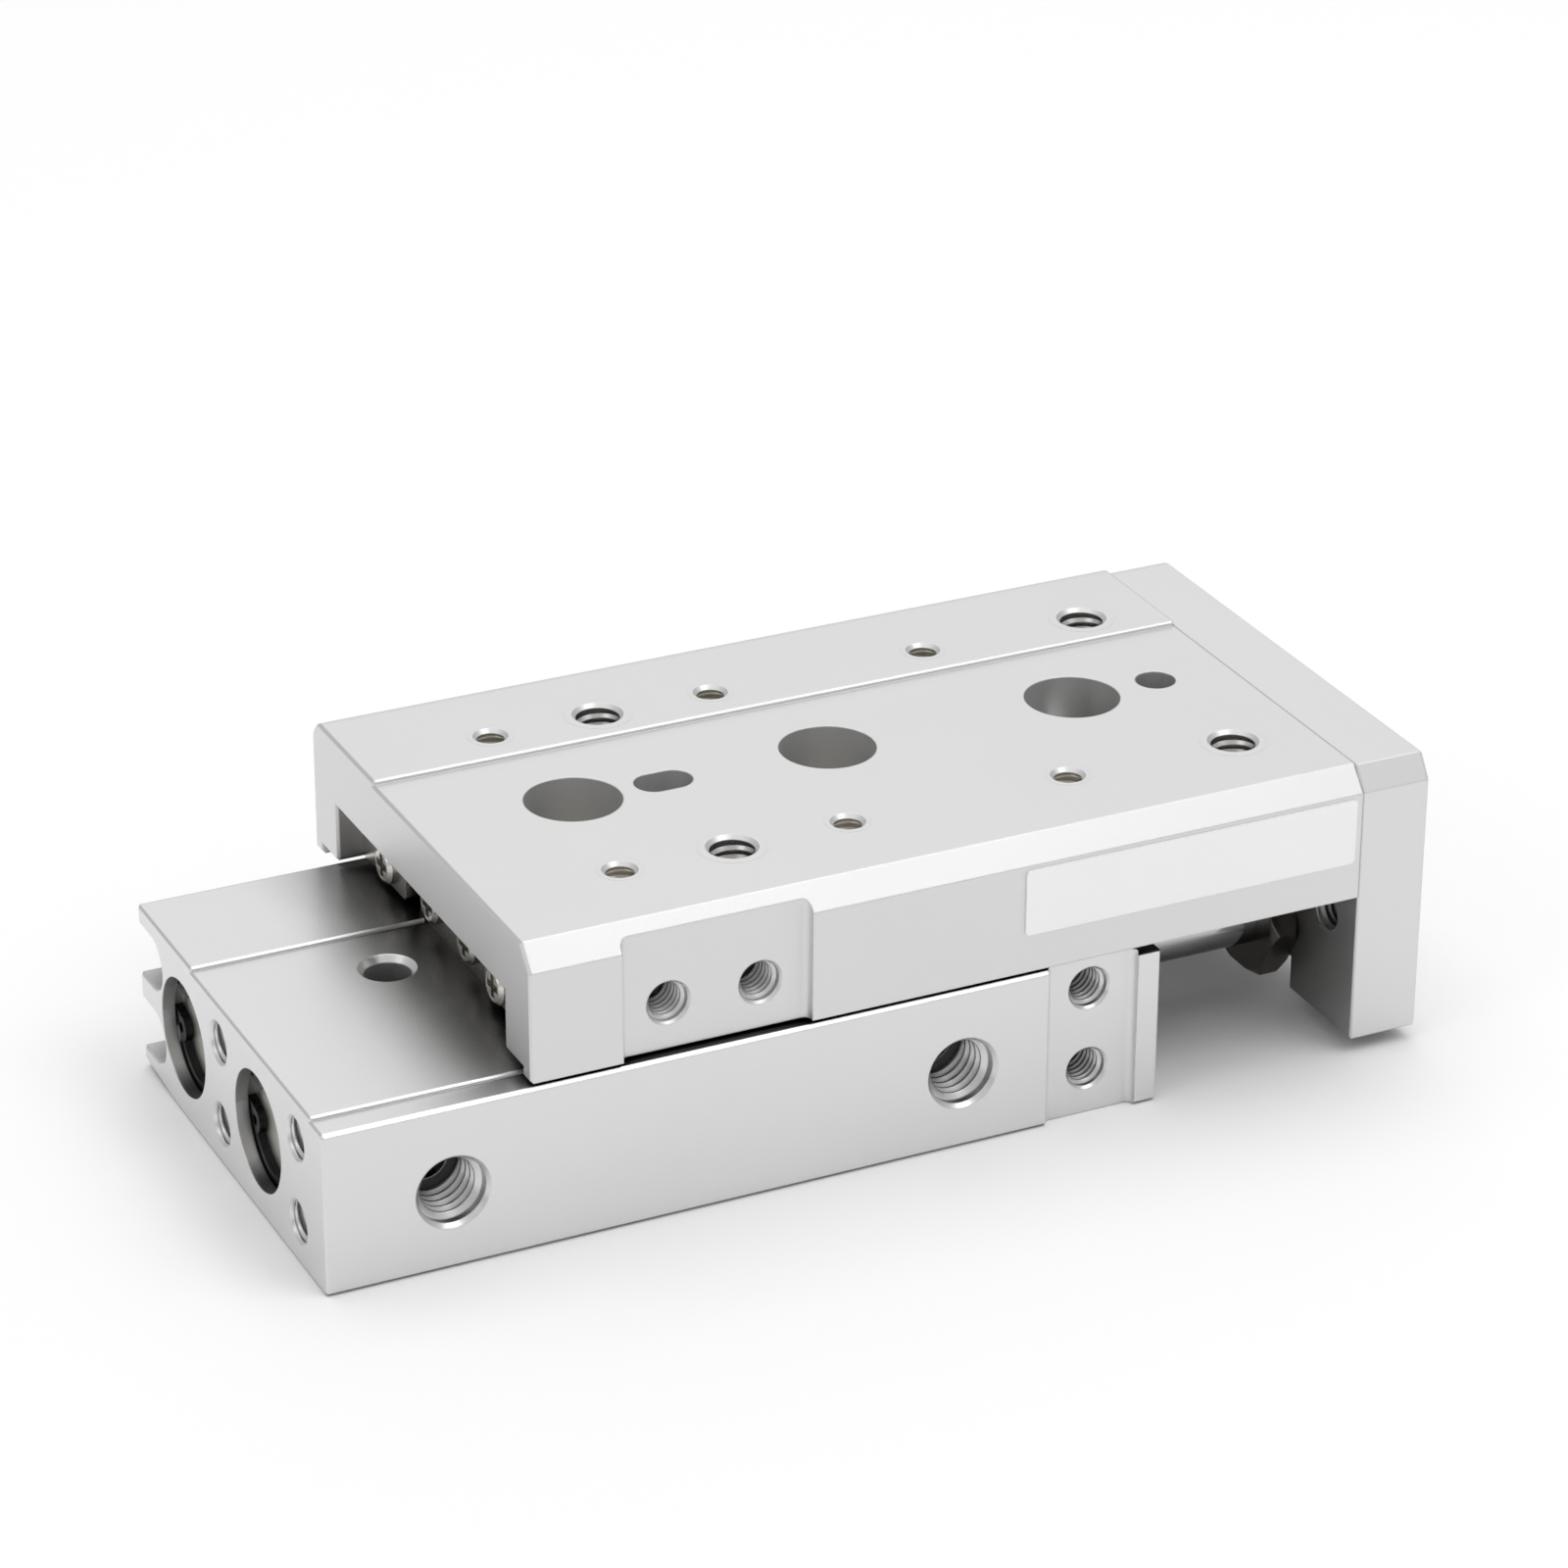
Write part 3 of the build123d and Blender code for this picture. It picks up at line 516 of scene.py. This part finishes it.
# Threads over the rail screws' tips, in the table's small holes
railScrews = {"count": 3, "first": 8.5 * mm, "pitch": 17.5 * mm, "tipDepth": 1.2, "pastTip": 0.65}
railLow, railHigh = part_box("rail_near")
screwRow = (railHigh.y + railLow.y) / 2
tips = bmesh.new()
for index in range(railScrews["count"]):
    for side in (1, -1):
        x = railLow.x + railScrews["first"] + index * railScrews["pitch"]
        place = Vector((x, side * screwRow, tableHigh.z))
        depth = railScrews["tipDepth"] + railScrews["pastTip"]
        if place.y < 0:
            place.z -= stripRise * mm
            depth -= stripRise
        addThread(tips, place, (0, 0, 1), 3.0, depth, sink=0.15)
        addRim(rims, place, rimSizes["small"])
addPiece("table_small_threads", tips, "table_unit", "tipSteel")
addPiece("table_hole_rims", rims, "table_unit", "rimSkin")
print("small holes threaded")


# Floor, background and lights. The floor's size is in metres, and its drop below the base in mm.
ground = {"size": 6, "drop": 0.02, "colour": (0.96, 0.96, 0.96, 1), "roughness": 0.9}


def makeFloor():
    mesh = bmesh.new()
    bmesh.ops.create_grid(mesh, x_segments=1, y_segments=1, size=ground["size"])
    data = bpy.data.meshes.new("floor")
    mesh.to_mesh(data)
    mesh.free()
    floor = bpy.data.objects.new("floor", data)
    floor.location.z = bodyLow.z - ground["drop"] * mm
    bpy.context.scene.collection.objects.link(floor)
    material = bpy.data.materials.new("pale_floor")
    material.use_nodes = True
    shader = material.node_tree.nodes["Principled BSDF"]
    shader.inputs["Base Color"].default_value = ground["colour"]
    shader.inputs["Roughness"].default_value = ground["roughness"]
    data.materials.append(material)


lights = {
    "overhead": {"place": (0.0, 0.2, 1.0), "aim": (0, 0, 0), "size": 0.9, "watts": 2.9},
    "farLight": {"place": (0.5, 1.1, 0.65), "aim": (0, 0, 0), "size": 1.0, "watts": 1.3},
    "edgeLight": {"place": (0.36, -0.42, 0.85), "aim": (0, 0, 0), "size": 0.55, "watts": 1.9},
    "rearLight": {"place": (-1.0, -0.2, 0.7), "aim": (0, 0, 0), "size": 0.6, "watts": 0.9},
}

# The room's brightness from the horizon to straight up, and the height where it starts to rise
room = {"horizon": 0.42, "zenith": 0.75, "start": 0.05}


def makeLight(name, settings):
    data = bpy.data.lights.new(name, "AREA")
    data.size = settings["size"]
    data.energy = settings["watts"]
    light = bpy.data.objects.new(name, data)
    light.location = settings["place"]
    aim = Vector(settings["aim"]) - Vector(settings["place"])
    light.rotation_euler = aim.to_track_quat("-Z", "Y").to_euler()
    bpy.context.scene.collection.objects.link(light)


def makeRoom():
    world = bpy.data.worlds.new("studio")
    world.use_nodes = True
    nodes = world.node_tree.nodes
    links = world.node_tree.links
    direction = nodes.new("ShaderNodeTexCoord")
    parts = nodes.new("ShaderNodeSeparateXYZ")
    links.new(direction.outputs["Generated"], parts.inputs["Vector"])
    rise = nodes.new("ShaderNodeMapRange")
    rise.inputs["From Min"].default_value = room["start"]
    rise.inputs["To Min"].default_value = room["horizon"]
    rise.inputs["To Max"].default_value = room["zenith"]
    links.new(parts.outputs["Z"], rise.inputs["Value"])
    links.new(rise.outputs["Result"], nodes["Background"].inputs["Strength"])
    nodes["Background"].inputs["Color"].default_value = (1, 1, 1, 1)
    bpy.context.scene.world = world
    bpy.context.scene.view_settings.view_transform = "Standard"


makeFloor()
makeRoom()
for name, settings in lights.items():
    makeLight(name, settings)
print("floor, background and lights set")
